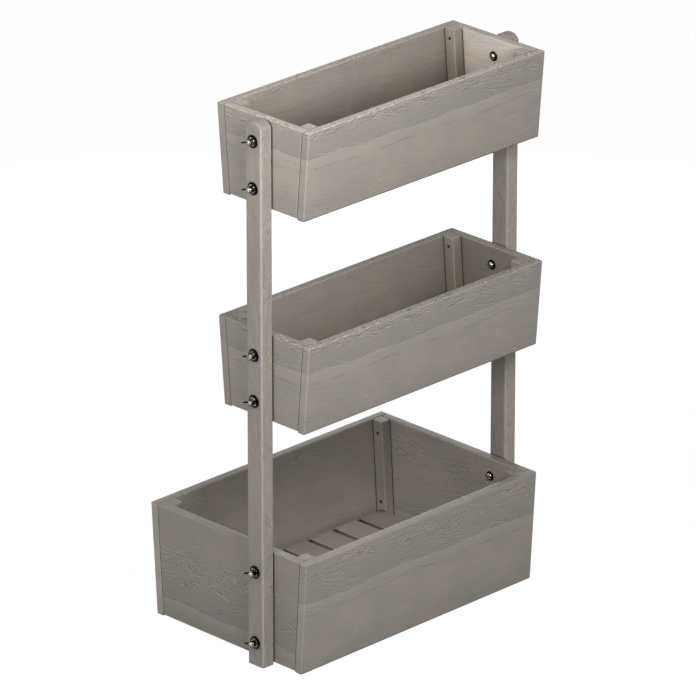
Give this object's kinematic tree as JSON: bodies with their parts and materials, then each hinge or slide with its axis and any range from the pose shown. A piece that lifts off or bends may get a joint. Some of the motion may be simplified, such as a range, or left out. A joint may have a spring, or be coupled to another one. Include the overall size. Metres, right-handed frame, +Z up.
{
  "type": "tiered wooden planter",
  "caption": "Free-standing tiered planter: open boxes of grey-washed wood with leaning fronts, bolted between flat round-topped posts and held by wing nuts, with slatted floors.",
  "frame": {"origin": "middle of the whole planter's outline, at ground level under it", "axes": "+Z up, +X along the boxes to the right, -Y is the front, where the long boards of all three boxes nearly line up"},
  "size_m": [0.6884, 0.4142, 1.055],
  "materials": {
    "board_wood": "grey-washed, matte",
    "post_wood": "grey-washed, matte",
    "batten_wood": "grey-washed, matte",
    "slat_wood": "grey-washed, matte",
    "bolt_metal": "bright plated",
    "nut_metal": "bright plated"
  },
  "bodies": {
    "planter": {"post_left": "post_wood", "post_right": "post_wood", "top_front_board": "board_wood", "top_back_board": "board_wood", "top_left_end_board": "board_wood", "top_right_end_board": "board_wood", "top_batten_front_left": "batten_wood", "top_batten_front_right": "batten_wood", "top_batten_back_left": "batten_wood", "top_batten_back_right": "batten_wood", "top_floor_rack": "slat_wood", "bolt_top_left_upper": "bolt_metal", "bolt_top_left_lower": "bolt_metal", "bolt_top_right_upper": "bolt_metal", "bolt_top_right_lower": "bolt_metal", "middle_front_board": "board_wood", "middle_back_board": "board_wood", "middle_left_end_board": "board_wood", "middle_right_end_board": "board_wood", "middle_batten_front_left": "batten_wood", "middle_batten_front_right": "batten_wood", "middle_batten_back_left": "batten_wood", "middle_batten_back_right": "batten_wood", "middle_floor_rack": "slat_wood", "bolt_middle_left_upper": "bolt_metal", "bolt_middle_left_lower": "bolt_metal", "bolt_middle_right_upper": "bolt_metal", "bolt_middle_right_lower": "bolt_metal", "lower_front_board": "board_wood", "lower_back_board": "board_wood", "lower_left_end_board": "board_wood", "lower_right_end_board": "board_wood", "lower_batten_front_left": "batten_wood", "lower_batten_front_right": "batten_wood", "lower_batten_back_left": "batten_wood", "lower_batten_back_right": "batten_wood", "lower_floor_slat_1": "slat_wood", "lower_floor_slat_2": "slat_wood", "lower_floor_slat_3": "slat_wood", "lower_floor_slat_4": "slat_wood", "lower_floor_slat_5": "slat_wood", "lower_floor_slat_6": "slat_wood", "lower_floor_slat_7": "slat_wood", "lower_floor_slat_8": "slat_wood", "bolt_lower_left_upper": "bolt_metal", "bolt_lower_left_lower": "bolt_metal", "bolt_lower_right_upper": "bolt_metal", "bolt_lower_right_lower": "bolt_metal"},
    "nut_top_left_upper": {"wing_nut_top_left_upper": "nut_metal"},
    "nut_top_left_lower": {"wing_nut_top_left_lower": "nut_metal"},
    "nut_top_right_upper": {"wing_nut_top_right_upper": "nut_metal"},
    "nut_top_right_lower": {"wing_nut_top_right_lower": "nut_metal"},
    "nut_middle_left_upper": {"wing_nut_middle_left_upper": "nut_metal"},
    "nut_middle_left_lower": {"wing_nut_middle_left_lower": "nut_metal"},
    "nut_middle_right_upper": {"wing_nut_middle_right_upper": "nut_metal"},
    "nut_middle_right_lower": {"wing_nut_middle_right_lower": "nut_metal"},
    "nut_lower_left_upper": {"wing_nut_lower_left_upper": "nut_metal"},
    "nut_lower_left_lower": {"wing_nut_lower_left_lower": "nut_metal"},
    "nut_lower_right_upper": {"wing_nut_lower_right_upper": "nut_metal"},
    "nut_lower_right_lower": {"wing_nut_lower_right_lower": "nut_metal"}
  },
  "joints": [
    {"name": "nut_top_left_upper_turn", "type": "hinge", "parent": "planter", "child": "nut_top_left_upper", "pos_m": [-0.3296, -0.096, 1.018], "axis": [-1, 0, 0], "continuous": true},
    {"name": "nut_top_left_lower_turn", "type": "hinge", "parent": "planter", "child": "nut_top_left_lower", "pos_m": [-0.3296, -0.096, 0.929], "axis": [-1, 0, 0], "continuous": true},
    {"name": "nut_top_right_upper_turn", "type": "hinge", "parent": "planter", "child": "nut_top_right_upper", "pos_m": [0.3296, -0.096, 1.018], "axis": [1, 0, 0], "continuous": true},
    {"name": "nut_top_right_lower_turn", "type": "hinge", "parent": "planter", "child": "nut_top_right_lower", "pos_m": [0.3296, -0.096, 0.929], "axis": [1, 0, 0], "continuous": true},
    {"name": "nut_middle_left_upper_turn", "type": "hinge", "parent": "planter", "child": "nut_middle_left_upper", "pos_m": [-0.3296, -0.096, 0.61], "axis": [-1, 0, 0], "continuous": true},
    {"name": "nut_middle_left_lower_turn", "type": "hinge", "parent": "planter", "child": "nut_middle_left_lower", "pos_m": [-0.3296, -0.096, 0.521], "axis": [-1, 0, 0], "continuous": true},
    {"name": "nut_middle_right_upper_turn", "type": "hinge", "parent": "planter", "child": "nut_middle_right_upper", "pos_m": [0.3296, -0.096, 0.61], "axis": [1, 0, 0], "continuous": true},
    {"name": "nut_middle_right_lower_turn", "type": "hinge", "parent": "planter", "child": "nut_middle_right_lower", "pos_m": [0.3296, -0.096, 0.521], "axis": [1, 0, 0], "continuous": true},
    {"name": "nut_lower_left_upper_turn", "type": "hinge", "parent": "planter", "child": "nut_lower_left_upper", "pos_m": [-0.3296, -0.096, 0.186], "axis": [-1, 0, 0], "continuous": true},
    {"name": "nut_lower_left_lower_turn", "type": "hinge", "parent": "planter", "child": "nut_lower_left_lower", "pos_m": [-0.3296, -0.096, 0.046], "axis": [-1, 0, 0], "continuous": true},
    {"name": "nut_lower_right_upper_turn", "type": "hinge", "parent": "planter", "child": "nut_lower_right_upper", "pos_m": [0.3296, -0.096, 0.186], "axis": [1, 0, 0], "continuous": true},
    {"name": "nut_lower_right_lower_turn", "type": "hinge", "parent": "planter", "child": "nut_lower_right_lower", "pos_m": [0.3296, -0.096, 0.046], "axis": [1, 0, 0], "continuous": true}
  ]
}
